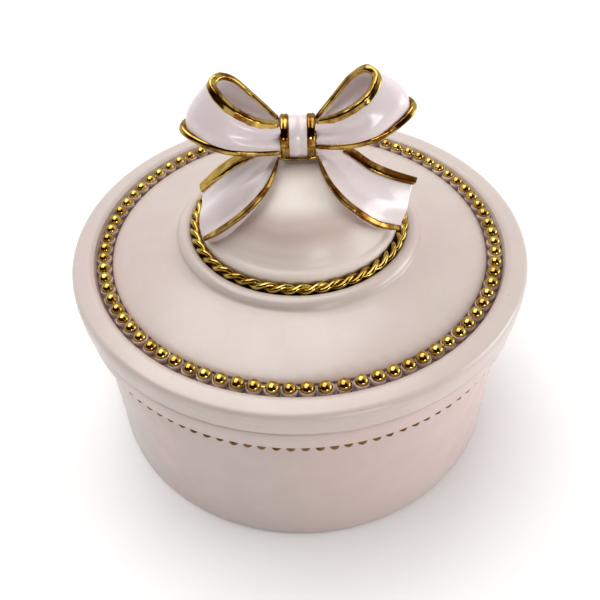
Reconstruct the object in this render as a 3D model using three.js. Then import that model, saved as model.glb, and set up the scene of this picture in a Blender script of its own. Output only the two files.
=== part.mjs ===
// A round trinket box of cast resin: a drum-shaped bowl, and a lift-off lid with a domed
// knob that carries a ribbon bow. Gold beads, a gold rope and gold ribbon edges trim it.
//
// Millimetres, +Z up. The origin is the middle of the underside, where the box rests.
// The bow faces -Y, and its left loop points to -X.
import * as THREE from "three";

// ---- Driving dimensions -------------------------------------------------------------

const GAP = 0.3; // clearance between two pieces that meet
const EDGE_GAP = 0.5; // clearance between a ribbon and its gold edge
const ROUND_STEPS = 48; // facets round the bowl and the lid
const KNOB_STEPS = 40; // facets round the dome

// Bowl
const PAD_RADIUS = 44;
const PAD_HEIGHT = 1.0;
const FOOT_Z = 0.5; // underside of the bowl, just above the underside of the pad
const WALL_FOOT_RADIUS = 50.75;
const WALL_TOP_RADIUS = 51.15;
const CAVITY_RADIUS = 46.3;
const CAVITY_FLOOR_Z = 4.6;
const CAVITY_FILLET = 3;
const BEAD_SEAT_Z = 37.6; // where the wall steps in behind the lower beads
const BEAD_SEAT_RADIUS = 50.6;
const BAND_RADIUS = 53.7; // the plain band round the bowl's mouth
const BAND_BOTTOM_Z = 40.8;
const RIM_Z = 46.2;

// Lid
const LID_BOTTOM_Z = RIM_Z + GAP;
const SKIRT_RADIUS = 54.65;
const SPIGOT_RADIUS = 45.8; // locating ring that drops into the bowl
const SPIGOT_WALL = 3;
const SPIGOT_BOTTOM_Z = 42.5;
const CHANNEL_FLOOR_Z = 50.15;
const CHANNEL_INNER_RADIUS = 45.25;
const CHANNEL_OUTER_RADIUS = 48.75;
const LIP_CREST_Z = 52.9;
const LID_WALL = 3.6;
const KNOB_HOLE_RADIUS = 18.5;
const KNOB_HOLE_BOTTOM_Z = 53;
const ROPE_GROOVE_RADIUS = 25.9;
const ROPE_GROOVE_Z = 56.7;

// Gold trims
const LID_BEADS = { count: 81, ringRadius: 47, z: 52, radius: 1.45, steps: 3, sides: 5 };
const BOWL_BEADS = { count: 108, ringRadius: 52.3, z: 39.3, radius: 1.15, steps: 2, sides: 5 };
const BEAD_LINK_RADIUS = 0.35;
const ROPE = { lobes: 42, ringRadius: 24.7, z: 58.3, radius: 1.05, swell: 0.2, steps: 3, sides: 6 };

// Dome
const DOME_RADIUS = 22.6;
const DOME_CENTRE_Z = 54.4;
const DOME_WALL = 3.6;
const DOME_FOOT_Z = ROPE_GROOVE_Z + GAP;
const DOME_FOOT_RADIUS = 23.15;
const DOME_LIP_Z = 60.6;

// Bow
const KNOT = { x: 0.4, y: -1.8, z: 82.2, depthShare: 0.92 }; // depthShare: depth over height
const CORE_RADIUS = 3.3;
const CORE_HALF_LENGTH = 3.9;
const KNOT_BAND_HALF_LENGTH = 1.5;
const KNOT_EDGE_OFFSET = 2.9;
const KNOT_EDGE_HALF_WIDTH = 1.05;
const KNOT_OUTER_RADIUS = 4.75;
const RIBBON_THICKNESS = 2;
const UPPER_EDGE_RADIUS = 1.05;
const LOWER_EDGE_RADIUS = 0.7;
const TAIL_THICKNESS = 2.1;
const TAIL_INNER_EDGE_RADIUS = 0.65;
const TAIL_OUTER_EDGE_RADIUS = 0.85;

// Edges of the ribbon, from the front of the knot, out round the tip and back to the knot.
const LEFT_LOOP = {
  side: -1,
  bulge: 0.3,
  upper: [
    [-4.2, -4.2, 86.1], [-7.5, -5.3, 87.4], [-11.3, -5.6, 89.5], [-14.8, -4.9, 92.3], [-16.9, -2.3, 95.0],
    [-15.6, -0.2, 95.6], [-13.0, 1.5, 94.2], [-9.4, 2.2, 90.3], [-4.2, -0.4, 85.8],
  ],
  lower: [
    [-4.2, -5.2, 80.3], [-9.2, -6.7, 81.4], [-14.4, -7.3, 82.4], [-19.6, -6.2, 83.9], [-23.5, -2.9, 84.9],
    [-22.6, 0.8, 84.8], [-18.0, 3.4, 83.6], [-11.0, 3.2, 81.8], [-4.2, 0.0, 80.6],
  ],
};
const RIGHT_LOOP = {
  side: 1,
  bulge: 0.8,
  upper: [
    [4.9, -4.0, 86.7], [8.6, -5.2, 88.2], [12.4, -5.4, 90.5], [15.4, -4.4, 93.0], [16.7, -2.0, 95.4],
    [14.9, 0.4, 96.2], [11.8, 2.0, 93.6], [8.1, 1.5, 89.2], [4.9, -0.4, 85.8],
  ],
  lower: [
    [4.9, -5.1, 81.6], [9.4, -6.6, 82.4], [14.2, -7.1, 83.5], [19.2, -6.0, 85.2], [24.2, -2.8, 87.9],
    [23.9, 0.8, 88.0], [19.2, 3.4, 85.6], [11.5, 3.2, 82.8], [4.9, 0.0, 81.4],
  ],
};

// Edges of the tails, from under the knot down to the cut ends that lie on the dome.
const LEFT_TAIL = {
  inner: [
    [-4.4, -5.0, 78.3], [-4.9, -8.2, 77.3], [-6.5, -11.2, 75.6], [-9.2, -13.3, 73.2],
    [-12.8, -14.2, 70.2], [-16.8, -13.6, 66.5], [-21.4, -11.0, 61.7],
  ],
  outer: [
    [-4.9, 0.4, 78.3], [-8.8, 0.2, 77.6], [-13.0, -0.2, 75.7], [-17.6, 0.0, 72.2], [-21.9, 1.0, 67.4],
  ],
};
const RIGHT_TAIL = {
  inner: [
    [5.0, -4.8, 78.2], [5.5, -8.0, 77.3], [7.0, -10.8, 75.6], [9.6, -13.1, 73.2],
    [13.0, -14.0, 70.3], [17.2, -13.1, 66.4], [23.0, -9.3, 61.8],
  ],
  outer: [
    [5.4, 0.6, 78.4], [8.8, 0.8, 77.6], [12.1, 0.2, 76.2], [16.0, -1.6, 74.0], [20.6, -2.1, 71.7],
    [26.4, -1.5, 68.9],
  ],
};

// ---- Materials ----------------------------------------------------------------------

const blushResin = { color: 0xd9c9c2, roughness: 0.38, metalness: 0 };
const domeResin = { color: 0xe2d3ca, roughness: 0.36, metalness: 0 };
const ribbonResin = { color: 0xd8cbd0, roughness: 0.3, metalness: 0 };
const goldPaint = { color: 0xb8902f, roughness: 0.18, metalness: 1 };
const padFelt = { color: 0x8f8580, roughness: 0.95, metalness: 0 };

const box = new THREE.Group();

function addPiece(name, geometry, finish) {
  const mesh = new THREE.Mesh(geometry, new THREE.MeshStandardMaterial(finish));
  mesh.name = name;
  box.add(mesh);
  return mesh;
}

// ---- Shape helpers ------------------------------------------------------------------

// A body of revolution about Z, from an outline of [radius, z] corners that starts and ends
// on the axis, or in the same corner.
function turned(outline, steps) {
  const points = outline.map(([radius, z]) => new THREE.Vector2(radius, z));
  return new THREE.LatheGeometry(points, steps).rotateX(Math.PI / 2);
}

// Corners of a quarter-turn arc, from one angle to another, in degrees.
function arc(centreRadius, centreZ, radius, fromDegrees, toDegrees, steps) {
  const corners = [];
  for (let i = 0; i <= steps; i++) {
    const angle = THREE.MathUtils.degToRad(fromDegrees + ((toDegrees - fromDegrees) * i) / steps);
    corners.push([centreRadius + radius * Math.cos(angle), centreZ + radius * Math.sin(angle)]);
  }
  return corners;
}

function curveThrough(points) {
  return new THREE.CatmullRomCurve3(points.map((p) => new THREE.Vector3(...p)));
}

// How far a ribbon stops short of its gold edge, measured along the ribbon's width.
function edgeInset(edgeRadius, edge, t, across) {
  const slant = Math.sin(edge.getTangent(t).angleTo(across));
  return (edgeRadius + EDGE_GAP) / slant;
}

// Six times the volume that an indexed surface encloses: negative when it faces inwards.
function signedVolume(positions, index) {
  const corner = (k) => new THREE.Vector3().fromArray(positions, 3 * k);
  let sum = 0;
  for (let i = 0; i < index.length; i += 3) {
    const [a, b, c] = [corner(index[i]), corner(index[i + 1]), corner(index[i + 2])];
    sum += a.dot(b.cross(c));
  }
  return sum;
}

// A solid through a row of sections, each the same number of corners, with flat ends.
function lofted(sections) {
  const size = sections[0].length;
  const positions = sections.flat().flatMap((p) => p.toArray());
  const index = [];
  for (let s = 0; s + 1 < sections.length; s++) {
    for (let k = 0; k < size; k++) {
      const a = s * size + k;
      const b = s * size + ((k + 1) % size);
      index.push(a, b, b + size, a, b + size, a + size);
    }
  }
  // Each end is closed by a strip between its first and second half of corners.
  for (const [start, turn] of [[0, 1], [(sections.length - 1) * size, 0]]) {
    for (let k = 0; k < size / 2 - 1; k++) {
      const near = [start + k, start + k + 1];
      const far = [start + size - 1 - k, start + size - 2 - k];
      const quad = [near[0], far[0], far[1], near[0], far[1], near[1]];
      index.push(...(turn ? quad : quad.reverse()));
    }
  }
  if (signedVolume(positions, index) < 0) index.reverse();
  const geometry = new THREE.BufferGeometry();
  geometry.setAttribute("position", new THREE.Float32BufferAttribute(positions, 3));
  geometry.setIndex(index);
  geometry.computeVertexNormals();
  return geometry;
}

// A round bar along a curve, the gold edge of a ribbon.
function bar(curve, radius, steps) {
  const sides = 6;
  const section = new THREE.Shape();
  for (let k = 0; k < sides; k++) {
    const angle = (2 * Math.PI * k) / sides;
    const [x, y] = [radius * Math.cos(angle), radius * Math.sin(angle)];
    if (k === 0) section.moveTo(x, y);
    else section.lineTo(x, y);
  }
  return new THREE.ExtrudeGeometry(section, { steps, extrudePath: curve, bevelEnabled: false });
}

// ---- Bowl ---------------------------------------------------------------------------

function padGeometry() {
  const outline = [[0, 0], [PAD_RADIUS, 0], [PAD_RADIUS, PAD_HEIGHT], [0, PAD_HEIGHT]];
  return turned(outline, ROUND_STEPS);
}

function bowlGeometry() {
  const outline = [
    [0, PAD_HEIGHT + GAP],
    [PAD_RADIUS + GAP, PAD_HEIGHT + GAP],
    [PAD_RADIUS + GAP, FOOT_Z],
    ...arc(WALL_FOOT_RADIUS - 1, FOOT_Z + 1, 1, -90, 0, 2),
    [WALL_TOP_RADIUS, BEAD_SEAT_Z],
    [BEAD_SEAT_RADIUS, BEAD_SEAT_Z + 0.6],
    [BEAD_SEAT_RADIUS, BAND_BOTTOM_Z - 0.2],
    [BAND_RADIUS - 0.2, BAND_BOTTOM_Z],
    [BAND_RADIUS, BAND_BOTTOM_Z + 0.3],
    [BAND_RADIUS, RIM_Z - 0.6],
    [BAND_RADIUS - 0.5, RIM_Z],
    [CAVITY_RADIUS, RIM_Z],
    ...arc(CAVITY_RADIUS - CAVITY_FILLET, CAVITY_FLOOR_Z + CAVITY_FILLET, CAVITY_FILLET, 0, -90, 3),
    [0, CAVITY_FLOOR_Z],
  ];
  return turned(outline, ROUND_STEPS);
}

// ---- Lid ----------------------------------------------------------------------------

// The upper face of the shoulder, between the bead channel and the moulding round the rope.
const SHOULDER = [
  [44.7, 51.9], [42.0, 53.0], [38.0, 54.0], [34.0, 54.8], [31.0, 55.4], [28.9, 56.2],
];
const MOULDING = [[28.3, 57.3], [27.3, 57.8], [26.4, 57.6], [25.95, 56.9]];

function lidGeometry() {
  const underside = SHOULDER.slice(1).map(([radius, z]) => [radius, z - LID_WALL]).reverse();
  const spigotFoot = [SPIGOT_RADIUS - SPIGOT_WALL, SPIGOT_BOTTOM_Z];
  return turned(
    [
      spigotFoot,
      [SPIGOT_RADIUS - 0.3, SPIGOT_BOTTOM_Z],
      [SPIGOT_RADIUS, SPIGOT_BOTTOM_Z + 0.3],
      [SPIGOT_RADIUS, LID_BOTTOM_Z],
      [SKIRT_RADIUS - 0.5, LID_BOTTOM_Z],
      [SKIRT_RADIUS, LID_BOTTOM_Z + 0.8],
      [SKIRT_RADIUS, LIP_CREST_Z - 2.7],
      [SKIRT_RADIUS - 0.25, LIP_CREST_Z - 1.3],
      [SKIRT_RADIUS - 0.8, LIP_CREST_Z - 0.4],
      [SKIRT_RADIUS - 2.65, LIP_CREST_Z],
      [CHANNEL_OUTER_RADIUS + 1.45, LIP_CREST_Z - 0.1],
      [CHANNEL_OUTER_RADIUS + 0.45, LIP_CREST_Z - 0.7],
      [CHANNEL_OUTER_RADIUS, CHANNEL_FLOOR_Z],
      [CHANNEL_INNER_RADIUS, CHANNEL_FLOOR_Z],
      ...SHOULDER,
      ...MOULDING,
      [ROPE_GROOVE_RADIUS, ROPE_GROOVE_Z],
      [KNOB_HOLE_RADIUS, ROPE_GROOVE_Z],
      [KNOB_HOLE_RADIUS, KNOB_HOLE_BOTTOM_Z],
      ...underside,
      spigotFoot,
    ],
    ROUND_STEPS,
  );
}

function domeGeometry() {
  const top = [];
  const arcSteps = 9;
  const footAngle = Math.asin((DOME_LIP_Z + 1.6 - DOME_CENTRE_Z) / DOME_RADIUS);
  for (let i = 0; i <= arcSteps; i++) {
    const angle = footAngle + ((Math.PI / 2 - footAngle) * i) / arcSteps;
    const radius = i === arcSteps ? 0 : DOME_RADIUS * Math.cos(angle);
    top.push([radius, DOME_CENTRE_Z + DOME_RADIUS * Math.sin(angle)]);
  }
  const hollow = DOME_RADIUS - DOME_WALL;
  const hollowSteps = 5;
  const inside = [];
  const hollowFoot = Math.asin((DOME_FOOT_Z - DOME_CENTRE_Z) / hollow);
  for (let i = hollowSteps; i >= 0; i--) {
    const angle = hollowFoot + ((Math.PI / 2 - hollowFoot) * i) / hollowSteps;
    const radius = i === hollowSteps ? 0 : hollow * Math.cos(angle);
    inside.push([radius, DOME_CENTRE_Z + hollow * Math.sin(angle)]);
  }
  const outline = [
    ...inside,
    [DOME_FOOT_RADIUS, DOME_FOOT_Z],
    [DOME_FOOT_RADIUS, DOME_LIP_Z - 1.2],
    [DOME_FOOT_RADIUS - 0.4, DOME_LIP_Z],
    [DOME_FOOT_RADIUS - 1.1, DOME_LIP_Z + 0.6],
    ...top,
  ];
  return turned(outline, KNOB_STEPS);
}

// ---- Gold trims ---------------------------------------------------------------------

// A ring of round beads on a thin wire.
function beadRing({ count, ringRadius, radius, steps, sides }) {
  const ring = new THREE.TorusGeometry(ringRadius, radius, sides, count * steps);
  const pitch = (2 * Math.PI * ringRadius) / count;
  const place = ring.getAttribute("position");
  for (let i = 0; i < place.count; i++) {
    const p = new THREE.Vector3().fromBufferAttribute(place, i);
    const turn = (Math.atan2(p.y, p.x) * count) / (2 * Math.PI);
    const along = Math.abs(turn - Math.round(turn)) * pitch;
    const height = Math.sqrt(Math.max(radius * radius - along * along, 0));
    const centre = new THREE.Vector3(p.x, p.y, 0).setLength(ringRadius);
    const scaled = p.sub(centre).setLength(Math.max(height, BEAD_LINK_RADIUS)).add(centre);
    place.setXYZ(i, scaled.x, scaled.y, scaled.z);
  }
  return ring;
}

// A ring of two strands laid together: its section has two lobes that turn as it goes round.
function ropeRing({ lobes, ringRadius, radius, swell, steps, sides }) {
  const ring = new THREE.TorusGeometry(ringRadius, radius, sides, lobes * steps);
  const place = ring.getAttribute("position");
  for (let i = 0; i < place.count; i++) {
    const p = new THREE.Vector3().fromBufferAttribute(place, i);
    const centre = new THREE.Vector3(p.x, p.y, 0).setLength(ringRadius);
    const roundSection = Math.atan2(p.z, Math.hypot(p.x, p.y) - ringRadius);
    const roundRing = Math.atan2(p.y, p.x);
    const lobe = Math.cos(2 * roundSection - lobes * roundRing);
    const scaled = p.sub(centre).setLength(radius + swell * lobe).add(centre);
    place.setXYZ(i, scaled.x, scaled.y, scaled.z);
  }
  return ring;
}

// ---- Bow ----------------------------------------------------------------------------

// One loop of ribbon: a band that stands on edge and swells outwards across its width.
function loopGeometry({ side, bulge, upper, lower }) {
  const steps = 20;
  const upperEdge = curveThrough(upper);
  const lowerEdge = curveThrough(lower);
  const sections = [];
  for (let i = 0; i <= steps; i++) {
    const t = i / steps;
    const top = upperEdge.getPoint(t);
    const bottom = lowerEdge.getPoint(t);
    const across = top.clone().sub(bottom).normalize();
    const along = upperEdge.getTangent(t).add(lowerEdge.getTangent(t)).normalize();
    const outward = new THREE.Vector3().crossVectors(along, across).multiplyScalar(side).normalize();
    const high = top.addScaledVector(across, -edgeInset(UPPER_EDGE_RADIUS, upperEdge, t, across));
    const low = bottom.addScaledVector(across, edgeInset(LOWER_EDGE_RADIUS, lowerEdge, t, across));
    const swell = bulge * Math.sin(Math.PI * t);
    const middle = high.clone().add(low).multiplyScalar(0.5).addScaledVector(outward, swell);
    const face = (offset) => [low, middle, high].map((p) => p.clone().addScaledVector(outward, offset));
    sections.push([...face(RIBBON_THICKNESS / 2), ...face(-RIBBON_THICKNESS / 2).reverse()]);
  }
  return lofted(sections);
}

// One tail of ribbon: a slab that follows the dome between its two gold edges.
function tailGeometry({ inner, outer }) {
  const steps = 9;
  const strips = 4;
  const centre = new THREE.Vector3(0, 0, DOME_CENTRE_Z);
  const innerEdge = curveThrough(inner);
  const outerEdge = curveThrough(outer);
  const lowest = DOME_RADIUS + 0.4;
  const sections = [];
  for (let i = 0; i <= steps; i++) {
    const from = innerEdge.getPoint(i / steps).sub(centre);
    const to = outerEdge.getPoint(i / steps).sub(centre);
    const across = to.clone().sub(from);
    const start = edgeInset(TAIL_INNER_EDGE_RADIUS, innerEdge, i / steps, across) / across.length();
    const end = 1 - edgeInset(TAIL_OUTER_EDGE_RADIUS, outerEdge, i / steps, across) / across.length();
    const top = [];
    const bottom = [];
    for (let k = 0; k <= strips; k++) {
      const v = start + ((end - start) * k) / strips;
      const reach = THREE.MathUtils.lerp(from.length(), to.length(), v);
      const direction = from.clone().lerp(to, v).normalize();
      top.push(direction.clone().multiplyScalar(reach).add(centre));
      bottom.push(direction.multiplyScalar(Math.max(reach - TAIL_THICKNESS, lowest)).add(centre));
    }
    sections.push([...top, ...bottom.reverse()]);
  }
  return lofted(sections);
}

// A ring or sleeve round the knot's axis, which runs along X.
function knotRing(outline) {
  const points = [...outline, outline[0]].map(([radius, x]) => new THREE.Vector2(radius, x));
  return new THREE.LatheGeometry(points, 20).rotateZ(-Math.PI / 2).scale(1, KNOT.depthShare, 1);
}

function knotBandGeometry() {
  const inside = CORE_RADIUS + GAP;
  const half = KNOT_BAND_HALF_LENGTH;
  const outside = KNOT_OUTER_RADIUS - 0.25;
  return knotRing([
    [inside, -half],
    [outside - 0.1, -half],
    [outside, 0],
    [outside - 0.1, half],
    [inside, half],
  ]);
}

function knotEdgeGeometry() {
  const middle = (CORE_RADIUS + GAP + KNOT_OUTER_RADIUS) / 2;
  const halfHeight = KNOT_OUTER_RADIUS - middle;
  const outline = [];
  const sides = 8;
  for (let k = 0; k < sides; k++) {
    const angle = (2 * Math.PI * k) / sides;
    outline.push([middle + halfHeight * Math.cos(angle), KNOT_EDGE_HALF_WIDTH * Math.sin(angle)]);
  }
  return knotRing(outline);
}

function coreGeometry() {
  return new THREE.CylinderGeometry(CORE_RADIUS, CORE_RADIUS, 2 * CORE_HALF_LENGTH, 20)
    .rotateZ(Math.PI / 2)
    .scale(1, KNOT.depthShare, 1);
}

function addKnotPiece(name, geometry, finish, offset) {
  addPiece(name, geometry, finish).position.set(KNOT.x + offset, KNOT.y, KNOT.z);
}

// ---- Assembly -----------------------------------------------------------------------

addPiece("foot_pad", padGeometry(), padFelt);
addPiece("base_bowl", bowlGeometry(), blushResin);
addPiece("base_bead_trim", beadRing(BOWL_BEADS), goldPaint).position.z = BOWL_BEADS.z;

addPiece("lid_shell", lidGeometry(), blushResin);
addPiece("lid_bead_trim", beadRing(LID_BEADS), goldPaint).position.z = LID_BEADS.z;
addPiece("lid_rope_trim", ropeRing(ROPE), goldPaint).position.z = ROPE.z;
addPiece("lid_dome", domeGeometry(), domeResin);

addKnotPiece("bow_core", coreGeometry(), ribbonResin, 0);
addKnotPiece("knot_band", knotBandGeometry(), ribbonResin, 0);
addKnotPiece("knot_left_edge", knotEdgeGeometry(), goldPaint, -KNOT_EDGE_OFFSET);
addKnotPiece("knot_right_edge", knotEdgeGeometry(), goldPaint, KNOT_EDGE_OFFSET);

for (const [name, loop] of [["left_loop", LEFT_LOOP], ["right_loop", RIGHT_LOOP]]) {
  addPiece(name, loopGeometry(loop), ribbonResin);
  addPiece(name + "_upper_edge", bar(curveThrough(loop.upper), UPPER_EDGE_RADIUS, 22), goldPaint);
  addPiece(name + "_lower_edge", bar(curveThrough(loop.lower), LOWER_EDGE_RADIUS, 22), goldPaint);
}

for (const [name, tail] of [["left_tail", LEFT_TAIL], ["right_tail", RIGHT_TAIL]]) {
  addPiece(name, tailGeometry(tail), ribbonResin);
  addPiece(name + "_inner_edge", bar(curveThrough(tail.inner), TAIL_INNER_EDGE_RADIUS, 14), goldPaint);
  addPiece(name + "_outer_edge", bar(curveThrough(tail.outer), TAIL_OUTER_EDGE_RADIUS, 12), goldPaint);
}

export default box;
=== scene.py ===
"""A round resin trinket box with a beaded lid and a moulded ribbon bow, built around its CAD frame.

Shapes are worked out in millimetres in the frame's own axes and turned into metres when a mesh is
made. +Z is up, the front of the bow faces -Y, and the left loop points to -X.
"""
import math
import random

import bmesh
import bpy
import numpy as np
from mathutils import Matrix, Vector


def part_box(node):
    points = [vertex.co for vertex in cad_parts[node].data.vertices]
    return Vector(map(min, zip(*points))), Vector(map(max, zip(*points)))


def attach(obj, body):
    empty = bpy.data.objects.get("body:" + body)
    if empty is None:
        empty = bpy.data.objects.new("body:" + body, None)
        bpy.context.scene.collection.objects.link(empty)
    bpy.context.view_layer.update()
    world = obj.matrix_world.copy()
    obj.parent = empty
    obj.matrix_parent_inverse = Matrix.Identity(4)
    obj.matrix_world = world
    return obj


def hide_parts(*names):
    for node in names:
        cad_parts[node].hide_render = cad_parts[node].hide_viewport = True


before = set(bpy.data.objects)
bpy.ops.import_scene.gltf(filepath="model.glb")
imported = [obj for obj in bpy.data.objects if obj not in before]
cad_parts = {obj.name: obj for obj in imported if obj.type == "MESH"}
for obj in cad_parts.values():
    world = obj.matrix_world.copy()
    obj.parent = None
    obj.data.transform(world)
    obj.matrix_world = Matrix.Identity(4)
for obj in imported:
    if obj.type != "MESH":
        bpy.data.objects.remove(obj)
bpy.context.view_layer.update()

MM = 0.001
TAU = 2 * math.pi
BOWL, LID = "bowl", "lid"


# ---- Sizes taken from the frame, in millimetres ---------------------------------------------

def low(node, axis=2):
    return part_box(node)[0][axis] / MM


def high(node, axis=2):
    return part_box(node)[1][axis] / MM


def halfway(node, axis=2):
    return (low(node, axis) + high(node, axis)) / 2


PAD_RADIUS = high("foot_pad", 0)
PAD_TOP = high("foot_pad")
FOOT_Z = low("base_bowl")
RIM_Z = high("base_bowl")
BAND_RADIUS = high("base_bowl", 0)
WALL_RADIUS = BAND_RADIUS - 2.55
CAVITY_RADIUS = BAND_RADIUS - 7.4
CAVITY_FLOOR = FOOT_Z + 4.1

SPIGOT_FOOT = low("lid_shell")
SKIRT_RADIUS = high("lid_shell", 0)
SPIGOT_RADIUS = SKIRT_RADIUS - 8.85
LID_FOOT = RIM_Z + 0.3
LIP_Z = LID_FOOT + 6.5
CHANNEL_Z = LID_FOOT + 4.2
GROOVE_Z = LID_FOOT + 10.2

LID_BEAD_COUNT, BOWL_BEAD_COUNT = 81, 108
LID_BEAD_RING = (high("lid_bead_trim", 0) - 1.45, halfway("lid_bead_trim"))
BOWL_BEAD_RING = (high("base_bead_trim", 0) - 1.5, halfway("base_bead_trim") - 0.15)
ROPE_Z = halfway("lid_rope_trim")
ROPE_RADIUS = high("lid_rope_trim", 0) - 1.25

DOME_RADIUS = 22.6
DOME_TOP = high("lid_dome")
DOME_CENTRE = np.array([0, 0, DOME_TOP - DOME_RADIUS])

KNOT = np.array([halfway("bow_core", axis) for axis in range(3)])


# ---- Curves ---------------------------------------------------------------------------------

def spline(points, t):
    """Points of a centripetal Catmull-Rom curve: t runs from 0 to 1, evenly over the spans."""
    p = np.array(points, float)
    p = np.vstack([2 * p[0] - p[1], p, 2 * p[-1] - p[-2]])
    place = np.clip(np.asarray(t, float), 0, 1) * (len(points) - 1)
    span = np.minimum(place.astype(int), len(points) - 2)
    w = (place - span)[:, None]
    a, b, c, d = (p[span + k] for k in range(4))
    ab, bc, cd = (np.sqrt(np.linalg.norm(v - u, axis=1))[:, None] for u, v in ((a, b), (b, c), (c, d)))
    leave = ((b - a) / ab - (c - a) / (ab + bc) + (c - b) / bc) * bc
    arrive = ((c - b) / bc - (d - b) / (bc + cd) + (d - c) / cd) * bc
    return (b + leave * w + (3 * (c - b) - 2 * leave - arrive) * w ** 2
            + (2 * (b - c) + leave + arrive) * w ** 3)


def smooth(points, count):
    return spline(points, np.linspace(0, 1, count))


def unit(v):
    return v / np.maximum(np.linalg.norm(v, axis=-1, keepdims=True), 1e-9)


def ease(x):
    x = np.clip(x, 0, 1)
    return x * x * (3 - 2 * x)


def ridge(x, middle, width, height):
    return height * np.exp(-((x - middle) / width) ** 2)


def filleted(corners, steps=6):
    """An outline of [radius, z] points, from corners (radius, z, fillet radius)."""
    outline = []
    for i, (r, z, fillet) in enumerate(corners):
        here = np.array([r, z])
        if fillet == 0 or i in (0, len(corners) - 1):
            outline.append(here)
            continue
        before = unit(np.array(corners[i - 1][:2]) - here)
        after = unit(np.array(corners[i + 1][:2]) - here)
        half = math.acos(np.clip(before @ after, -1, 1)) / 2
        reach = fillet / math.tan(half)
        centre = here + unit(before + after) * fillet / math.sin(half)
        start, end = here + before * reach - centre, here + after * reach - centre
        for k in range(steps + 1):
            blend = k / steps
            turn = math.pi - 2 * half
            share = [math.sin((1 - blend) * turn), math.sin(blend * turn)]
            outline.append(centre + (share[0] * start + share[1] * end) / math.sin(turn))
    return np.array(outline)


# ---- Meshes ---------------------------------------------------------------------------------

def make_piece(name, shape, material, body, replaces=(), sharp=40):
    """A shaded mesh object on a body, from a shape's points in millimetres and its faces."""
    points, faces = shape
    mesh = bpy.data.meshes.new(name)
    mesh.from_pydata((np.asarray(points) * MM).tolist(), [], faces)
    bm = bmesh.new()
    bm.from_mesh(mesh)
    bmesh.ops.remove_doubles(bm, verts=bm.verts, dist=1e-7)
    bmesh.ops.recalc_face_normals(bm, faces=bm.faces)
    bm.to_mesh(mesh)
    bm.free()
    mesh.shade_smooth()
    mesh.set_sharp_from_angle(angle=math.radians(sharp))
    mesh.materials.append(material)
    piece = bpy.data.objects.new(name, mesh)
    bpy.context.scene.collection.objects.link(piece)
    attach(piece, body)
    if replaces:
        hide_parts(*replaces)
    return piece


def grid_faces(rows, columns, wrap_rows, wrap_columns, first=0):
    """Quads of a grid of points, wrapped round in either direction."""
    faces = []
    for i in range(rows if wrap_rows else rows - 1):
        for k in range(columns if wrap_columns else columns - 1):
            near, far = i * columns, (i + 1) % rows * columns
            side = (k + 1) % columns
            faces.append([first + near + k, first + near + side, first + far + side, first + far + k])
    return faces


def turned(outline, steps, closed=False):
    """Points and faces of a body of revolution about Z."""
    angles = np.arange(steps) * TAU / steps
    r, z = outline[:, 0], outline[:, 1]
    rings = np.stack([np.outer(np.cos(angles), r), np.outer(np.sin(angles), r), np.tile(z, (steps, 1))], -1)
    return rings.reshape(-1, 3), grid_faces(steps, len(outline), True, closed)


def tube(rings):
    """Points and faces of a skin over a row of closed sections, with flat ends."""
    count, size = rings.shape[:2]
    faces = grid_faces(count, size, False, True)
    faces.append(list(range(size)))
    faces.append(list(range((count - 1) * size, count * size))[::-1])
    return rings.reshape(-1, 3), faces


def joined(parts):
    """One list of points and faces from several."""
    points, faces, first = [], [], 0
    for part_points, part_faces in parts:
        points.append(part_points)
        faces += [[first + k for k in face] for face in part_faces]
        first += len(part_points)
    return np.vstack(points), faces


def gilt_bar(centre, facing, breadth, half_thick, half_wide, groove=0.0, ends=(1, 1), sides=24):
    """A bar along a line of centres. Its faces look along facing and may carry a shallow groove;
    breadth is the direction of its width. Each end is rounded off where ends is 1."""
    step = np.linalg.norm(np.diff(centre, axis=0), axis=1)
    along = np.concatenate([[0], np.cumsum(step)])
    reach = np.maximum(np.minimum(half_thick, half_wide), 1e-6)
    to_start = along / reach if ends[0] else np.ones(len(along))
    to_end = (along[-1] - along) / reach if ends[1] else np.ones(len(along))
    closeness = np.clip(np.minimum(to_start, to_end), 0.03, 1)
    cap = np.sqrt(1 - (1 - closeness) ** 2)
    angles = np.arange(sides) * TAU / sides
    x = np.sign(np.cos(angles)) * np.abs(np.cos(angles)) ** 0.8
    y = np.sign(np.sin(angles)) * np.abs(np.sin(angles)) ** 0.8
    x = x * (1 - groove * np.exp(-(y / 0.34) ** 2))
    section = (x[None, :, None] * (facing * (half_thick * cap)[:, None])[:, None]
               + y[None, :, None] * (breadth * (half_wide * cap)[:, None])[:, None])
    return tube(centre[:, None] + section)


# ---- Materials ------------------------------------------------------------------------------

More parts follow.
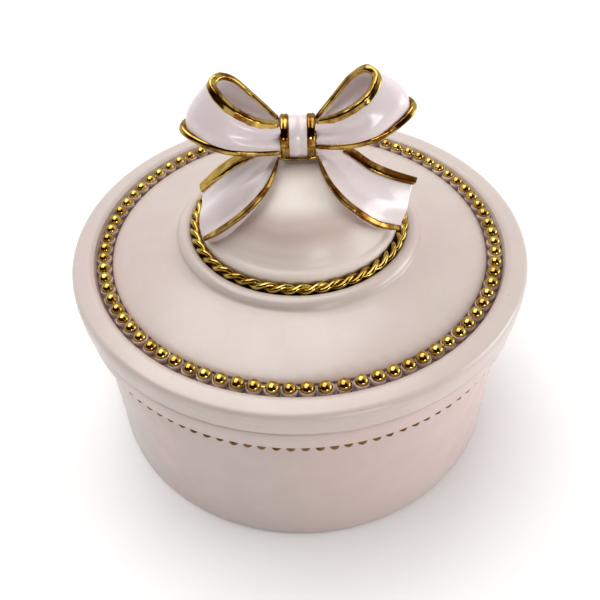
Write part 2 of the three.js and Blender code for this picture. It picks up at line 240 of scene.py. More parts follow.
class Graph:
    """A material's nodes, made one line at a time."""

    def __init__(self, name):
        self.material = bpy.data.materials.new(name)
        self.material.use_nodes = True
        self.tree = self.material.node_tree
        self.shader = self.tree.nodes["Principled BSDF"]

    def add(self, kind, settings=None, **inputs):
        node = self.tree.nodes.new(kind)
        for key, value in (settings or {}).items():
            setattr(node, key, value)
        for key, value in inputs.items():
            self.feed(node, key.replace("_", " "), value)
        return node

    def feed(self, node, key, value):
        socket = node.inputs[int(key) if key.isdigit() else key]
        if isinstance(value, bpy.types.NodeSocket):
            self.tree.links.new(value, socket)
        else:
            socket.default_value = value

    def place(self):
        return self.add("ShaderNodeTexCoord").outputs["Object"]

    def noise(self, vector, scale, detail=3, roughness=0.55):
        node = self.add("ShaderNodeTexNoise", Vector=vector, Scale=scale, Detail=detail,
                        Roughness=roughness)
        return node.outputs["Fac"]

    def ramp(self, value, stops):
        node = self.add("ShaderNodeValToRGB", Fac=value)
        band = node.color_ramp
        band.interpolation = "EASE"
        while len(band.elements) < len(stops):
            band.elements.new(0.5)
        for element, (position, colour) in zip(band.elements, stops):
            element.position = position
            element.color = (*colour, 1) if isinstance(colour, tuple) else (colour, colour, colour, 1)
        return node.outputs["Color"]

    def mix(self, share, first, second, mode="MIX"):
        node = self.add("ShaderNodeMix", {"data_type": "RGBA", "blend_type": mode})
        self.feed(node, "0", share)
        for index, value in ((6, first), (7, second)):
            self.feed(node, str(index), (*value, 1) if isinstance(value, tuple) else value)
        return node.outputs[2]

    def maths(self, operation, *values):
        node = self.add("ShaderNodeMath", {"operation": operation})
        for index, value in enumerate(values):
            self.feed(node, str(index), value)
        return node.outputs[0]

    def range(self, value, from_low, from_high, to_low, to_high):
        node = self.add("ShaderNodeMapRange")
        for index, entry in enumerate((value, from_low, from_high, to_low, to_high)):
            self.feed(node, str(index), entry)
        return node.outputs[0]

    def bump(self, height, strength, distance, below=None):
        node = self.add("ShaderNodeBump", Strength=strength, Distance=distance, Height=height)
        if below is not None:
            self.feed(node, "Normal", below)
        return node.outputs["Normal"]


# Dark colour painted in as shade in recesses: the bead channel, the rope's groove and the dome's foot.
CREVICE_SHADE = (0.115, 0.052, 0.034)
PINHOLE = (0.24, 0.16, 0.13)
# Brown painted onto the dome as shade.
DOME_PAINTED_SHADE = (0.44, 0.29, 0.24)


def painted_resin(name, tone, blush, shade, roughness, coat, streak, rings=(), shade_foot=None):
    """Cast resin under hand-laid satin paint: soft clouds of a pinker tint, brush streaks, a fine
    orange-peel surface, and now and then a pinhole."""
    g = Graph(name)
    place = g.place()
    clouds = g.noise(place, 22, 3)
    mottle = g.noise(place, 140, 4)
    stretched = g.add("ShaderNodeMapping", Vector=place, Scale=(1.0, 0.16, 1.0)).outputs["Vector"]
    strokes = g.noise(stretched, 620, 2)
    specks = g.add("ShaderNodeTexVoronoi", Vector=place, Scale=85.0).outputs["Distance"]
    pinholes = g.range(specks, 0.0, 0.028, 1.0, 0.0)
    colour = g.mix(g.ramp(clouds, [(0.38, 0.0), (0.66, 1.0)]), tone, blush)
    colour = g.mix(g.range(mottle, 0.35, 0.75, 0.0, 0.35), colour, shade)
    colour = g.mix(g.range(strokes, 0.52, 0.78, 0.0, 0.16 * streak), colour, shade)
    colour = g.mix(g.maths("MULTIPLY", pinholes, 0.5), colour, PINHOLE)
    # Rings of painted shade in the lid's recesses.
    if rings:
        colour = ring_washed(g, place, colour, rings)
    # Painted shade on the dome.
    if shade_foot:
        colour = dome_shaded(g, place, colour, clouds, shade_foot)
    g.feed(g.shader, "Base Color", colour)
    g.feed(g.shader, "Roughness", g.range(mottle, 0.3, 0.7, roughness - 0.05, roughness + 0.07))
    g.feed(g.shader, "Normal", paint_relief(g, place, strokes, pinholes, streak))
    g.feed(g.shader, "Coat Weight", coat)
    g.feed(g.shader, "Coat Roughness", 0.16)
    g.feed(g.shader, "Subsurface Weight", 0.06)
    g.feed(g.shader, "Subsurface Radius", (0.004, 0.0025, 0.002))
    return g.material


def paint_relief(g, place, strokes, pinholes, streak):
    """The paint's surface: slow waves, brush strokes, orange peel and pinholes."""
    bump = g.bump(g.noise(place, 70, 2), 0.22, 0.0006)
    bump = g.bump(strokes, 0.10 * streak, 0.0001, bump)
    bump = g.bump(g.noise(place, 950, 2), 0.10, 0.00008, bump)
    return g.bump(g.maths("SUBTRACT", 1.0, pinholes), 0.4, 0.0001, bump)


def ring_washed(g, place, colour, rings):
    """Painted shade in rings round the Z axis, for the shadow in recesses. Each has an inner and outer
    radius, the width of its soft edge, an amount, and the height that it starts from (mm)."""
    flat = g.add("ShaderNodeVectorMath", {"operation": "MULTIPLY"})
    g.feed(flat, "0", place)
    g.feed(flat, "1", (1.0, 1.0, 0.0))
    length = g.add("ShaderNodeVectorMath", {"operation": "LENGTH"})
    g.feed(length, "0", flat.outputs[0])
    radius = length.outputs["Value"]
    height = g.add("ShaderNodeSeparateXYZ", Vector=place).outputs["Z"]
    for inner, outer, soft, amount, base in rings:
        rise = g.range(radius, (inner - soft) * MM, inner * MM, 0.0, 1.0)
        fall = g.range(radius, outer * MM, (outer + soft) * MM, 1.0, 0.0)
        above = g.range(height, (base - soft) * MM, base * MM, 0.0, amount)
        share = g.maths("MULTIPLY", g.maths("MULTIPLY", rise, fall), above)
        colour = g.mix(share, colour, CREVICE_SHADE)
    return colour


def dome_shaded(g, place, colour, clouds, foot):
    """Painted shade in a band half way up the dome, and painted shade where its foot (mm) meets the rope's
    groove.
    """
    height = g.add("ShaderNodeSeparateXYZ", Vector=place).outputs["Z"]
    drift = g.maths("MULTIPLY", g.maths("SUBTRACT", clouds, 0.5), 0.016)
    climb = g.range(g.maths("ADD", height, drift), foot * MM, (foot + 16.0) * MM, 0.0, 1.0)
    shaded = g.ramp(climb, [(0.0, 0.26), (0.22, 0.38), (0.43, 0.68), (0.53, 0.56), (0.76, 0.0)])
    colour = g.mix(shaded, colour, DOME_PAINTED_SHADE)
    depth = g.range(height, (foot - 0.5) * MM, (foot + 0.1) * MM, 0.9, 0.0)
    return g.mix(depth, colour, CREVICE_SHADE)


def gold_leaf(name, bright, dull, roughness):
    """Bright gold plating: thin brown toning in random patches, tiny ripples and scuffs."""
    g = Graph(name)
    place = g.place()
    toning = g.noise(place, 260, 4, 0.6)
    colour = g.mix(g.ramp(toning, [(0.38, 0.0), (0.62, 1.0)]), bright, dull)
    scuffs = g.noise(place, 1500, 3)
    g.feed(g.shader, "Base Color", colour)
    g.feed(g.shader, "Metallic", 1.0)
    g.feed(g.shader, "Specular Tint", (1.0, 0.93, 0.72, 1.0))
    g.feed(g.shader, "Roughness", g.range(scuffs, 0.35, 0.75, roughness, roughness + 0.14))
    ripples = g.noise(place, 420, 2)
    bump = g.bump(ripples, 0.30, 0.00018)
    g.feed(g.shader, "Normal", g.bump(scuffs, 0.12, 0.00004, bump))
    return g.material


def felt(name):
    """Short-napped felt: matted fibres with lighter flecks."""
    g = Graph(name)
    place = g.place()
    fibres = g.noise(place, 2600, 5, 0.75)
    matting = g.noise(place, 240, 4)
    colour = g.mix(fibres, (0.20, 0.17, 0.16), (0.44, 0.39, 0.36))
    colour = g.mix(g.range(matting, 0.3, 0.7, 0.0, 0.4), colour, (0.26, 0.22, 0.20))
    g.feed(g.shader, "Base Color", colour)
    g.feed(g.shader, "Roughness", 0.95)
    g.feed(g.shader, "Sheen Weight", 0.4)
    g.feed(g.shader, "Sheen Roughness", 0.6)
    g.feed(g.shader, "Normal", g.bump(fibres, 0.8, 0.0003))
    return g.material


# Rings of painted shade in the bead channel and in the rope's groove.
CHANNEL_SHADE_RINGS = [(45.2, 48.85, 0.2, 0.85, CHANNEL_Z - 0.6), (23.4, 25.6, 0.2, 0.9, GROOVE_Z - 0.6)]
DOME_SHADE_FOOT = 58.5

# Each paint has its tone, blush and shade, then its roughness, coat and strength of brush streaks.
blush_resin = painted_resin("blush_resin", (0.575, 0.49, 0.45), (0.595, 0.475, 0.45), (0.50, 0.415, 0.38),
                            0.34, 0.4, 1.0, rings=CHANNEL_SHADE_RINGS)
bowl_resin = painted_resin("bowl_resin", (0.575, 0.487, 0.452), (0.62, 0.462, 0.442), (0.50, 0.412, 0.38),
                           0.38, 0.3, 0.7)
seat_resin = painted_resin("seat_resin", (0.64, 0.50, 0.47), (0.68, 0.54, 0.52), (0.54, 0.39, 0.36),
                           0.34, 0.4, 0.5)
dome_resin = painted_resin("dome_resin", (0.86, 0.79, 0.73), (0.84, 0.73, 0.68), (0.76, 0.67, 0.61),
                           0.42, 0.2, 0.6, shade_foot=DOME_SHADE_FOOT)
ribbon_resin = painted_resin("ribbon_resin", (0.77, 0.685, 0.69), (0.78, 0.665, 0.675), (0.68, 0.59, 0.595),
                             0.24, 0.5, 0.8)
gold = gold_leaf("gold_trim", (0.54, 0.39, 0.10), (0.37, 0.225, 0.045), 0.06)
# A darker, browner copy of the trim's gold: the brown is painted shade on the bow's gilt edges.
shaded_bow_gold = gold_leaf("shaded_bow_gold", (0.46, 0.30, 0.075), (0.13, 0.042, 0.005), 0.06)
# A darker copy of the gold, painted as shade on the bowl's beads under the band's overhang.
bowl_bead_shade_gold = gold_leaf("bowl_bead_shade_gold", (0.18, 0.09, 0.024), (0.09, 0.037, 0.011), 0.16)
# The groove's gilding: real gilt, in a darker copy of the gold as painted shade in the recess.
groove_shade_gold = gold_leaf("gold_in_recess", (0.30, 0.15, 0.04), (0.14, 0.06, 0.02), 0.3)
pad_felt = felt("pad_felt")


# ---- Bowl -----------------------------------------------------------------------------------

GROOVE_FOOT_Z = 37.7
BAND_FOOT_Z = 40.7


def build_bowl():
    outline = filleted([
        (0, PAD_TOP + 0.3, 0),
        (PAD_RADIUS + 0.3, PAD_TOP + 0.3, 0.2),
        (PAD_RADIUS + 0.3, FOOT_Z, 0.35),
        (WALL_RADIUS - 0.4, FOOT_Z, 1.1),
        (WALL_RADIUS, GROOVE_FOOT_Z, 0.25),
        (WALL_RADIUS - 0.5, GROOVE_FOOT_Z + 0.5, 0.2),
        (WALL_RADIUS - 0.5, BAND_FOOT_Z - 0.1, 0.2),
        (BAND_RADIUS - 0.05, BAND_FOOT_Z, 0.4),
        (BAND_RADIUS + 0.15, BAND_FOOT_Z + 3.3, 2.0),
        (BAND_RADIUS + 0.1, RIM_Z, 1.3),
        (CAVITY_RADIUS, RIM_Z, 0.7),
        (CAVITY_RADIUS, CAVITY_FLOOR, 3.2),
        (0, CAVITY_FLOOR, 0),
    ])
    shape = turned(outline, 256)
    make_piece("bowl_shell", shape, bowl_resin, BOWL, ["base_bowl"])


def build_pad():
    outline = filleted([(0, 0, 0), (PAD_RADIUS, 0, 0.3), (PAD_RADIUS, PAD_TOP, 0.3), (0, PAD_TOP, 0)], 4)
    points, faces = turned(outline, 192)
    rim = np.hypot(points[:, 0], points[:, 1]) > PAD_RADIUS - 0.2
    draw = random.Random(7)
    points[rim] *= np.array([[1 + draw.uniform(-0.002, 0.002)] for _ in range(rim.sum())])
    make_piece("felt_pad", (points, faces), pad_felt, BOWL, ["foot_pad"])


# ---- Beads ----------------------------------------------------------------------------------

LID_BEAD_RADIUS, BOWL_BEAD_RADIUS, SEAT_RADIUS = 1.6, 1.17, 1.7
BRIDGE_SHARE = 0.16


def bead_cap(centre, outward, radius, squash, from_angle, rows=12, sides=24):
    """A round bead's skin, from its top down to from_angle below it."""
    up = np.array([0, 0, 1.0])
    side = unit(np.cross(up, outward))
    front = np.cross(side, up)
    angles = np.linspace(0.04, from_angle, rows)
    turn = np.arange(sides) * TAU / sides
    around = np.cos(turn)[None, :, None] * front + np.sin(turn)[None, :, None] * side
    rings = np.sin(angles)[:, None, None] * around + squash * np.cos(angles)[:, None, None] * up
    return tube(centre + radius * rings)


def bead_ring(count, ring, radius, from_angle, seed):
    """Gold beads round the Z axis, each a little different, with a bridge of gold here and there."""
    draw = random.Random(seed)
    ring_radius, z = ring
    pitch = TAU / count
    parts = []
    centres = []
    for i in range(count):
        angle = i * pitch + draw.uniform(-0.035, 0.035) * pitch
        outward = np.array([math.cos(angle), math.sin(angle), 0])
        reach = ring_radius + draw.uniform(-0.06, 0.06)
        centre = outward * reach + np.array([0, 0, z + draw.uniform(-0.05, 0.03)])
        size = radius * draw.uniform(0.94, 1.0)
        parts.append(bead_cap(centre, outward, size, draw.uniform(0.92, 1.0), from_angle))
        centres.append(centre)
    for i in range(count):
        if draw.random() < BRIDGE_SHARE:
            parts.append(bead_bridge(centres[i], centres[(i + 1) % count]))
    return joined(parts)


def bead_bridge(start, end, steps=7):
    """A thin neck of gold that joins two beads."""
    line = start + (end - start) * np.linspace(0.3, 0.7, steps)[:, None]
    deep = np.tile([0, 0, 1.0], (steps, 1))
    wide = unit(np.cross(end - start, deep))
    thin = 0.30 + 0.25 * np.abs(np.linspace(-1, 1, steps)) ** 2
    return gilt_bar(line, deep, wide, thin * 0.9, thin, sides=10)


def bead_seats(count, ring, radius, floor, seed):
    """The rounded resin collar that each bead sits in: it rises from the channel's floor."""
    draw = random.Random(seed)
    ring_radius, z = ring
    pitch = TAU / count
    outline = smooth([(radius * 0.88, floor - 0.3), (radius * 0.94, floor + 0.05), (radius * 0.99, z - 0.8),
                      (radius, z - 0.5), (radius * 0.975, z - 0.2), (radius * 0.925, z + 0.02),
                      (radius * 0.82, z + 0.06)], 16)
    sides = 28
    turn = np.arange(sides) * TAU / sides
    heights = np.repeat(outline[:, 1:], sides, 1)
    parts = []
    for i in range(count):
        angle = i * pitch + draw.uniform(-0.02, 0.02) * pitch
        seat = np.array([math.cos(angle), math.sin(angle), 0]) * ring_radius
        wobble = 1 + 0.02 * np.sin(turn * 2 + draw.uniform(0, TAU)) + draw.uniform(-0.02, 0.015)
        across = np.outer(outline[:, 0], np.cos(turn) * wobble)
        along = np.outer(outline[:, 0], np.sin(turn) * wobble)
        parts.append(tube(seat + np.stack([across, along, heights], -1)))
    return joined(parts)


def build_beads():
    shape = bead_ring(LID_BEAD_COUNT, LID_BEAD_RING, LID_BEAD_RADIUS, 1.75, 3)
    make_piece("lid_beads", shape, gold, LID, ["lid_bead_trim"], 60)
    shape = bead_seats(LID_BEAD_COUNT, LID_BEAD_RING, SEAT_RADIUS, CHANNEL_Z, 3)
    make_piece("lid_bead_seats", shape, seat_resin, LID, (), 60)
    shape = bead_ring(BOWL_BEAD_COUNT, BOWL_BEAD_RING, BOWL_BEAD_RADIUS, 2.9, 5)
    make_piece("bowl_beads", shape, bowl_bead_shade_gold, BOWL, ["base_bead_trim"], 60)


# ---- Lid ------------------------------------------------------------------------------------

# The lid's top, from the bead channel over the shoulder and the moulding ring to the rope's groove.
SHOULDER = [(45.2, 51.2), (44.6, 51.85), (43.0, 52.6), (40.0, 53.5), (36.0, 54.4), (32.6, 55.0),
            (30.4, 55.5), (29.2, 56.1), (28.75, 56.95), (28.1, 57.65), (27.3, 57.98), (26.5, 57.9),
            (25.85, 57.5), (25.6, 56.75)]
SPIGOT_BORE = SPIGOT_RADIUS - 3
SKIRT_MID_Z = 49.5
KNOB_HOLE_RADIUS = 18.5


def build_lid():
    lip = filleted([
        (SPIGOT_BORE, SPIGOT_FOOT, 0),
        (SPIGOT_RADIUS, SPIGOT_FOOT, 0.7),
        (SPIGOT_RADIUS, LID_FOOT, 0.3),
        (SKIRT_RADIUS - 0.12, LID_FOOT, 0.75),
        (SKIRT_RADIUS - 0.12, SKIRT_MID_Z, 0.4),
        (SKIRT_RADIUS + 0.05, SKIRT_MID_Z + 0.5, 0.5),
        (SKIRT_RADIUS - 0.1, LIP_Z - 0.55, 1.5),
        (50.4, LIP_Z + 0.05, 1.3),
        (49.35, LIP_Z - 0.7, 0.6),
        (48.8, CHANNEL_Z, 0.35),
        (45.25, CHANNEL_Z, 0.35),
        (*SHOULDER[0], 0),
    ])
    top = smooth(SHOULDER, 90)[1:]
    below = filleted([
        (25.6, GROOVE_Z, 0),
        (KNOB_HOLE_RADIUS, GROOVE_Z, 0.4),
        (KNOB_HOLE_RADIUS, 53.2, 0.8),
        (29.0, 52.2, 2.0),
        (41.0, 49.3, 2.0),
        (SPIGOT_BORE, 47.6, 0.6),
        (SPIGOT_BORE, SPIGOT_FOOT + 0.01, 0),
    ])
    outline = np.vstack([lip, top, below])
    shape = turned(outline, 288, closed=True)
    make_piece("lid_body", shape, blush_resin, LID, ["lid_shell"])


def build_rope():
    """Two gold strands laid round each other in a ring, over a gold-washed groove."""
    turns, steps, sides = 21, 1260, 14
    lay_radius, strand_radius = 0.62, 0.61
    round_ring = np.arange(steps) * TAU / steps
    outward = np.stack([np.cos(round_ring), np.sin(round_ring), np.zeros(steps)], 1)
    up = np.tile([0, 0, 1.0], (steps, 1))
    angles = np.arange(sides) * TAU / sides
    parts = []
    for strand in range(2):
        lay = round_ring * turns + strand * math.pi
        centre = (outward * (ROPE_RADIUS + lay_radius * np.cos(lay))[:, None]
                  + up * (ROPE_Z + lay_radius * np.sin(lay))[:, None])
        forward = unit(np.roll(centre, -1, 0) - np.roll(centre, 1, 0))
        wide = unit(np.cross(forward, up))
        deep = np.cross(wide, forward)
        sideways = np.cos(angles)[None, :, None] * wide[:, None]
        upward = np.sin(angles)[None, :, None] * deep[:, None]
        rings = centre[:, None] + strand_radius * (sideways + upward)
        parts.append((rings.reshape(-1, 3), grid_faces(steps, sides, True, True)))
    shape = joined(parts)
    make_piece("rope", shape, gold, LID, ["lid_rope_trim"], 60)
    # The groove's gilding, darker than the trim as painted shade.
    bed = filleted([(23.6, GROOVE_Z - 0.1, 0), (23.6, GROOVE_Z + 0.15, 0.1), (25.5, GROOVE_Z + 0.15, 0.1),
                    (25.5, GROOVE_Z - 0.1, 0)])
    shape = turned(bed, 192, closed=True)
    make_piece("rope_groove_gilding", shape, groove_shade_gold, LID)


DOME_FOOT_Z = 57.0
DOME_CROWN_Z = 63.1
DOME_WALL = 3.6


def build_dome():
    foot = [(23.1, DOME_FOOT_Z), (23.35, 58.0), (23.5, 58.8), (23.48, 59.5), (23.2, 60.2), (22.7, 60.75),
            (22.1, 61.2), (21.7, 61.75), (21.3, 62.5)]
    start = math.asin((DOME_CROWN_Z - DOME_CENTRE[2]) / DOME_RADIUS)
    angles = np.linspace(start, math.pi / 2, 48)
    crown = np.stack([DOME_RADIUS * np.cos(angles), DOME_CENTRE[2] + DOME_RADIUS * np.sin(angles)], 1)
    crown[-1, 0] = 0
    hollow = DOME_RADIUS - DOME_WALL
    angles = np.linspace(math.pi / 2, math.asin((DOME_FOOT_Z - DOME_CENTRE[2]) / hollow), 24)
    inside = np.stack([hollow * np.cos(angles), DOME_CENTRE[2] + hollow * np.sin(angles)], 1)
    inside[0, 0] = 0
    outline = np.vstack([inside, smooth(foot, 28), crown])
    shape = turned(outline, 256)
    make_piece("dome", shape, dome_resin, LID, ["lid_dome"], 50)


# ---- Bow ------------------------------------------------------------------------------------

# Edges of the ribbon, from the front of the knot, out round the tip and back to the knot.
LOOPS = {
    "left": {
        "side": -1,
        "bulge": 0.85,
        "upper": [(-3.6, -3.9, 86.0), (-7.5, -5.3, 87.4), (-11.3, -5.6, 89.5), (-14.8, -4.9, 92.3),
                  (-16.9, -2.3, 95.0), (-15.6, -0.2, 95.6), (-13.0, 1.5, 94.2), (-9.4, 2.2, 90.3),
                  (-3.6, -0.6, 85.6)],
        "lower": [(-3.6, -4.9, 80.2), (-9.2, -6.7, 81.4), (-14.4, -7.3, 82.4), (-19.6, -6.2, 83.9),
                  (-23.5, -2.9, 84.9), (-22.6, 0.8, 84.8), (-18.0, 3.4, 83.6), (-11.0, 3.2, 81.8),
                  (-3.6, 0.0, 80.6)],
    },
    "right": {
        "side": 1,
        "bulge": 1.0,
        "upper": [(4.4, -3.8, 86.4), (8.6, -5.2, 88.2), (12.4, -5.4, 90.5), (15.4, -4.4, 93.0),
                  (16.7, -2.0, 95.4), (14.9, 0.4, 96.2), (11.8, 2.0, 93.6), (8.1, 1.5, 89.2),
                  (4.4, -0.6, 85.6)],
        "lower": [(4.4, -4.9, 81.4), (9.4, -6.6, 82.4), (14.2, -7.1, 83.5), (19.2, -6.0, 85.2),
                  (24.2, -2.8, 87.9), (23.9, 0.8, 88.0), (19.2, 3.4, 85.6), (11.5, 3.2, 82.8),
                  (4.4, 0.0, 81.4)],
    },
}

# Edges of the tails, from under the knot down to the cut ends that lie on the dome.
TAILS = {
    "left": {
        "fold": 1.1,
        "flare": 0.15,
        # The left tail's outer edge takes the brighter trim gold, as a painted highlight where it catches
        # the light.
        "gilding": gold,
        "gilt_width": 1.6,
        "gilt_from": 0.0,
        "inner": [(-3.9, -4.4, 78.4), (-4.9, -8.2, 77.3), (-6.5, -11.2, 75.6), (-9.2, -13.3, 73.2),
                  (-12.8, -14.2, 70.2), (-16.8, -13.6, 66.5), (-21.4, -11.0, 61.7)],
        "outer": [(-4.4, 0.4, 78.4), (-8.8, 0.2, 77.6), (-13.0, -0.2, 75.7), (-17.6, 0.0, 72.2),
                  (-21.9, 1.0, 67.4)],
    },
    "right": {
        "fold": 0.45,
        "flare": 0.07,
        "gilding": shaded_bow_gold,
        "gilt_width": 1.12,
        "gilt_from": 0.29,
        "inner": [(4.5, -4.3, 78.3), (5.5, -8.0, 77.3), (7.0, -10.8, 75.6), (9.6, -13.1, 73.2),
                  (13.0, -14.0, 70.3), (17.2, -13.1, 66.4), (23.0, -9.3, 61.8)],
        "outer": [(4.9, 0.6, 78.4), (8.8, 0.8, 77.6), (12.1, 0.2, 76.2), (16.0, -1.6, 74.0),
                  (20.6, -2.1, 71.7), (26.4, -1.5, 68.9)],
    },
}


def edge_frame(points, steps):
    t = np.linspace(0, 1, steps)
    curve = spline(points, t)
    return t, curve, unit(np.gradient(curve, axis=0))


def build_loop(name, side, bulge, upper, lower):
    steps, strips = 150, 30
    t, top, top_along = edge_frame(upper, steps)
    _, bottom, bottom_along = edge_frame(lower, steps)
    across = unit(top - bottom)
    outward = unit(side * np.cross(unit(top_along + bottom_along), across))
    v = np.linspace(0, 1, strips)[None, :, None]
    swell = (bulge * np.sin(math.pi * t) ** 0.8)[:, None, None] * np.sin(math.pi * v ** 0.85)
    tip = np.exp(-((t - 0.5) / 0.13) ** 2)[:, None, None]
    swell = swell - 1.0 * tip * np.exp(-(v / 0.2) ** 2)
    near_knot = (1 - ease(t / 0.42) + 1 - ease((1 - t) / 0.42))[:, None, None]
    pleats = near_knot * (ridge(v, 0.30, 0.10, 0.42) - ridge(v, 0.55, 0.12, 0.50)
                          + ridge(v, 0.80, 0.09, 0.30))
    middle = bottom[:, None] + (top - bottom)[:, None] * v + outward[:, None] * (swell + pleats)
    half = np.interp(t, [0, 0.3, 0.5, 0.7, 1], [0.85, 0.9, 0.75, 0.5, 0.45])[:, None, None]
    taper = np.sqrt(1 - (1 - np.minimum(np.minimum(v, 1 - v) / 0.06, 1)) ** 2 * 0.9)
    front = middle + outward[:, None] * half * taper
    back = middle - outward[:, None] * half * taper
    rings = np.concatenate([front, back[:, ::-1]], axis=1)
    shape = tube(rings)
    make_piece(name + "_ribbon_loop", shape, ribbon_resin, LID, [name + "_loop"], 60)

    ripple = 1 + 0.03 * np.sin(t * 61 + side) * np.sin(t * 23)
    thick = np.interp(t, [0, 0.12, 0.3, 0.47, 0.6, 0.75, 1], [0.85, 1.12, 1.18, 1.05, 0.85, 0.72, 0.55])
    width = np.interp(t, [0, 0.1, 0.25, 0.42, 0.53, 0.7, 1], [0.9, 1.15, 1.25, 1.2, 0.82, 0.62, 0.45])
    shape = gilt_bar(top, outward, across, thick * ripple, width * ripple, 0.14)
    make_piece(name + "_loop_gilt_rim", shape, shaded_bow_gold, LID, [name + "_loop_upper_edge"], 60)

    thick = np.interp(t, [0, 0.1, 0.44, 0.5, 0.6, 1], [0.8, 0.95, 1.0, 0.9, 0.7, 0.5])
    width = np.interp(t, [0, 0.15, 0.45, 0.5, 0.6, 1], [0.62, 0.76, 0.80, 0.78, 0.6, 0.42])
    hem = bottom + outward * 0.42 + across * 0.18
    shape = gilt_bar(hem, outward, across, thick, width * ripple, 0.10)
    make_piece(name + "_loop_gilt_hem", shape, shaded_bow_gold, LID, [name + "_loop_lower_edge"], 60)


def build_tail(name, fold, flare, gilding, gilt_width, gilt_from, inner, outer):
    steps, strips = 110, 34
    t, inside, _ = edge_frame(inner, steps)
    _, outside, _ = edge_frame(outer, steps)
    a, b = inside - DOME_CENTRE, outside - DOME_CENTRE
    reach_a, reach_b = np.linalg.norm(a, axis=1), np.linalg.norm(b, axis=1)
    v = np.linspace(0, 1, strips)

    def surface(share, drop):
        """Points at shares of the way across, drop below the ribbon's face."""
        share, drop = np.broadcast_arrays(share, drop)
        direction = unit(a[:, None] * (1 - share)[..., None] + b[:, None] * share[..., None])
        reach = reach_a[:, None] * (1 - share) + reach_b[:, None] * share - drop
        return DOME_CENTRE + direction * reach[..., None]

    fade = ease(t / 0.12)[:, None]
    spread = fold * ((0.35 + 0.65 * t) * (1 - 0.5 * ease((t - 0.7) / 0.3)))[:, None]
    folds = fade * spread * (ridge(v, 0.40, 0.13, 0.75) - ridge(v, 0.66, 0.12, 0.40)
                             - ridge(v, 0.16, 0.10, 0.45))
    face = surface(v[None, :], 0.35 - folds)
    reach_mid = reach_a[:, None] * (1 - v) + reach_b[:, None] * v
    rest = np.clip(reach_mid - (DOME_RADIUS - 0.3), 0.5, 2.6)
    foot = 0.14 - (0.14 + flare) * t ** 1.3
    under = surface(foot[:, None] + (1.03 - foot)[:, None] * v, rest)
    side_in = surface(foot[:, None] * 0.45, rest[:, :1] * 0.45)
    side_out = surface(np.array([[1.015]]), rest[:, -1:] * 0.45)
    rings = np.concatenate([face, side_out, under[:, ::-1], side_in], axis=1)
    ahead = unit(rings[-1].mean(0) - rings[-3].mean(0))
    middle = rings[-1].mean(0)
    ends = [middle + (rings[-1] - middle) * scale + ahead * push
            for scale, push in ((0.985, 0.14), (0.955, 0.24))]
    rings = np.concatenate([rings, np.array(ends)], axis=0)
    shape = tube(rings)
    make_piece(name + "_ribbon_tail", shape, ribbon_resin, LID, [name + "_tail"], 55)

    normal_in, normal_out = unit(a), unit(b)
    across = unit(outside - inside)
    ripple = 1 + 0.02 * np.sin(t * 47) * np.sin(t * 19)
    width = np.interp(t, [0, 0.1, 0.5, 0.9, 1], [0.6, 0.74, 0.88, 0.80, 0.62]) * ripple
    shape = gilt_bar(inside + normal_in * 0.05, normal_in, across, width * 0.85, width, 0.16)
    make_piece(name + "_tail_gilt_inner", shape, shaded_bow_gold, LID,
               [name + "_tail_inner_edge"], 60)
    part = t >= gilt_from
    width = gilt_width * np.interp(t, [0, 0.2, 0.32, 0.75, 1], [0.72, 0.8, 1.0, 1.0, 0.75]) * ripple
    centre = outside + across * (0.9 - width)[:, None] + normal_out * 0.24
    shape = gilt_bar(centre[part], normal_out[part], across[part], np.full(part.sum(), 0.62), width[part],
                     0.12, (1, 0))
    make_piece(name + "_tail_gilt_outer", shape, gilding, LID, [name + "_tail_outer_edge"], 60)


def knot_sleeve(offset, half_length, radius, inner_radius, section, rows=24, steps=96):
    """Points and faces of a sleeve round the knot's X axis. section gives its outside by x from -1 to 1."""
    share = np.linspace(-1, 1, rows)
    outside = np.array([radius + section(x) for x in share])
    xs = KNOT[0] + offset + share * half_length
    outline = np.vstack([np.stack([outside, xs], 1), [[inner_radius, xs[-1]], [inner_radius, xs[0]]]])
    angles = np.arange(steps) * TAU / steps
    rings = np.stack([np.tile(outline[:, 1], (steps, 1)),
                      KNOT[1] + 0.92 * np.outer(np.sin(angles), outline[:, 0]),
                      KNOT[2] + np.outer(np.cos(angles), outline[:, 0])], -1)
    return rings.reshape(-1, 3), grid_faces(steps, len(outline), True, True)


def band_section(x):
    """The ribbon's outside across the knot, with two soft creases."""
    return 0.16 * (1 - x * x) - ridge(x, 0.25, 0.3, 0.16) + ridge(x, -0.4, 0.3, 0.05)


def rim_section(x):
    """A gilt rim's rounded outside, with a groove round its middle."""
    return 0.75 * math.sqrt(max(1 - abs(x) ** 2.6, 0)) - 0.75 - ridge(x, 0, 0.3, 0.16)


def build_knot():
    bore = 3.0
    shape = knot_sleeve(0, 1.95, 4.42, bore, band_section, 40)
    make_piece("knot_ribbon", shape, ribbon_resin, LID, ["knot_band"], 60)
    for name, offset in (("left", -2.85), ("right", 2.85)):
        shape = knot_sleeve(offset, 1.05, 4.88, bore, rim_section, 28)
        make_piece("knot_gilt_" + name, shape, shaded_bow_gold, LID, ["knot_" + name + "_edge"], 60)


def build_knot_foot():
    """A fine gold line across the foot of the knot, from one tail to the other."""
    steps = 40
    line = smooth([(-3.9, -4.3, 78.25), (-1.6, -4.5, 78.1), (0.4, -4.5, 78.05), (2.4, -4.5, 78.1),
                   (4.6, -4.2, 78.3)], steps)
    up = np.tile([0, 0, 1.0], (steps, 1))
    back = np.tile([0, 1.0, 0], (steps, 1))
    thin = np.full(steps, 0.36)
    shape = gilt_bar(line, back, up, thin, thin)
    make_piece("knot_foot_gilding", shape, shaded_bow_gold, LID, (), 60)


def build_bow():
    build_knot()
    build_knot_foot()
    for name, loop in LOOPS.items():
        build_loop(name, **loop)
    for name, tail in TAILS.items():
        build_tail(name, **tail)
    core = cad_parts["bow_core"]
    core.material_slots[0].material = ribbon_resin


# ---- Stage ----------------------------------------------------------------------------------

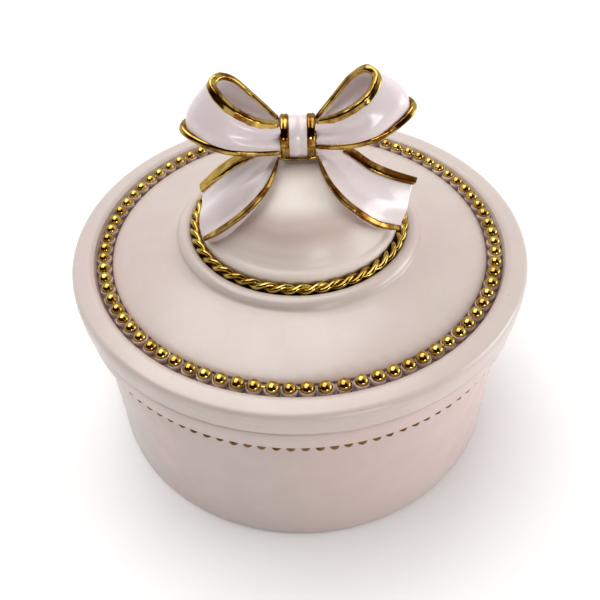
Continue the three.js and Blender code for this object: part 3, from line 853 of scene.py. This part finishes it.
def build_floor():
    """Pale paper that glows a little more with distance, so that it stays pale to the horizon."""
    mesh = bpy.data.meshes.new("floor")
    edge = 3.0
    corners = [(-edge, -edge, 0), (edge, -edge, 0), (edge, edge, 0), (-edge, edge, 0)]
    mesh.from_pydata(corners, [], [(0, 1, 2, 3)])
    g = Graph("floor_paper")
    grain = g.noise(g.place(), 900, 3)
    g.feed(g.shader, "Base Color", g.mix(grain, (0.955, 0.955, 0.955), (0.985, 0.985, 0.985)))
    g.feed(g.shader, "Roughness", 0.9)
    g.feed(g.shader, "Specular IOR Level", 0.1)
    g.feed(g.shader, "Emission Color", (1.0, 1.0, 1.0, 1.0))
    distance = g.add("ShaderNodeVectorMath", {"operation": "LENGTH"})
    g.feed(distance, "0", g.place())
    # The glow is painted light: near the box it also lights the box a little from below.
    g.feed(g.shader, "Emission Strength", g.range(distance.outputs["Value"], 0.18, 0.75, 0.07, 0.5))
    mesh.materials.append(g.material)
    floor = bpy.data.objects.new("floor", mesh)
    bpy.context.scene.collection.objects.link(floor)


DARK_SIDE = unit(np.array([-0.20, -0.84, 0.45]))
STUDIO_WHITE = (1.0, 0.995, 0.985, 1)
STUDIO_DARK = (0.035, 0.018, 0.012, 1)
LAMPS = [
    ("overhead", (-0.13, 0.06, 0.57), (0.66, 0.46), 2.95, (1.0, 1.0, 0.99)),
    ("side", (0.62, -0.05, 0.14), (0.4, 0.24), 1.4, (1.0, 0.995, 0.99)),
    ("low_front", (0.20, -0.50, 0.15), (0.20, 0.07), 0.58, (1.0, 0.995, 0.99)),
]


def build_lamps():
    """Soft boxes that face the box. Each has a place, a size (m), a power (W) and a colour."""
    target = Vector((0, 0, 0.05))
    for name, place, size, power, colour in LAMPS:
        data = bpy.data.lights.new(name, "AREA")
        data.shape = "RECTANGLE"
        data.size, data.size_y = size
        data.energy = power
        data.color = colour
        lamp = bpy.data.objects.new(name, data)
        lamp.location = place
        lamp.rotation_euler = (target - Vector(place)).to_track_quat("-Z", "Y").to_euler()
        bpy.context.scene.collection.objects.link(lamp)


def build_world():
    """A white studio that is dark only where the photographer stands, in front and above. Where it is
    seen past the floor's edge it is plain white."""
    world = bpy.data.worlds.new("studio")
    bpy.context.scene.world = world
    world.use_nodes = True
    nodes, links = world.node_tree.nodes, world.node_tree.links
    lit = nodes["Background"]
    lit.inputs["Strength"].default_value = 0.86
    place = nodes.new("ShaderNodeTexCoord")
    dot = nodes.new("ShaderNodeVectorMath")
    dot.operation = "DOT_PRODUCT"
    dot.inputs[1].default_value = DARK_SIDE
    ramp = nodes.new("ShaderNodeValToRGB")
    band = ramp.color_ramp
    band.interpolation = "EASE"
    for element, (position, colour) in zip(band.elements, [(0.05, STUDIO_WHITE), (0.60, STUDIO_DARK)]):
        element.position = position
        element.color = colour
    seen = nodes.new("ShaderNodeBackground")
    seen.inputs["Color"].default_value = (1.0, 1.0, 1.0, 1)
    seen.inputs["Strength"].default_value = 0.99
    path = nodes.new("ShaderNodeLightPath")
    choice = nodes.new("ShaderNodeMixShader")
    links.new(place.outputs["Generated"], dot.inputs[0])
    links.new(dot.outputs["Value"], ramp.inputs["Fac"])
    links.new(ramp.outputs["Color"], lit.inputs["Color"])
    links.new(path.outputs["Is Camera Ray"], choice.inputs[0])
    links.new(lit.outputs[0], choice.inputs[1])
    links.new(seen.outputs[0], choice.inputs[2])
    links.new(choice.outputs[0], nodes["World Output"].inputs["Surface"])


def build_camera():
    """The camera looks down on the box from the front, close up, and leans a little clockwise."""
    down, lean = math.radians(44.6), math.radians(1.69)
    ahead = np.array([0, math.cos(down), -math.sin(down)])
    up = np.array([0, math.sin(down), math.cos(down)])
    right = np.array([1.0, 0, 0])
    leaned_right = right * math.cos(lean) - up * math.sin(lean)
    leaned_up = up * math.cos(lean) + right * math.sin(lean)
    turn = Matrix((leaned_right, leaned_up, -ahead)).transposed()
    data = bpy.data.cameras.new("camera")
    data.sensor_width = 36
    data.lens = 46.24
    data.clip_start = 0.01
    camera = bpy.data.objects.new("camera", data)
    camera.matrix_world = Matrix.Translation((-0.0002, -0.1447, 0.1734)) @ turn.to_4x4()
    bpy.context.scene.collection.objects.link(camera)
    bpy.context.scene.camera = camera
    bpy.context.scene.view_settings.view_transform = "Standard"


build_camera()
build_world()
build_lamps()
build_floor()
build_bowl()
build_pad()
build_beads()
build_lid()
build_rope()
build_dome()
build_bow()
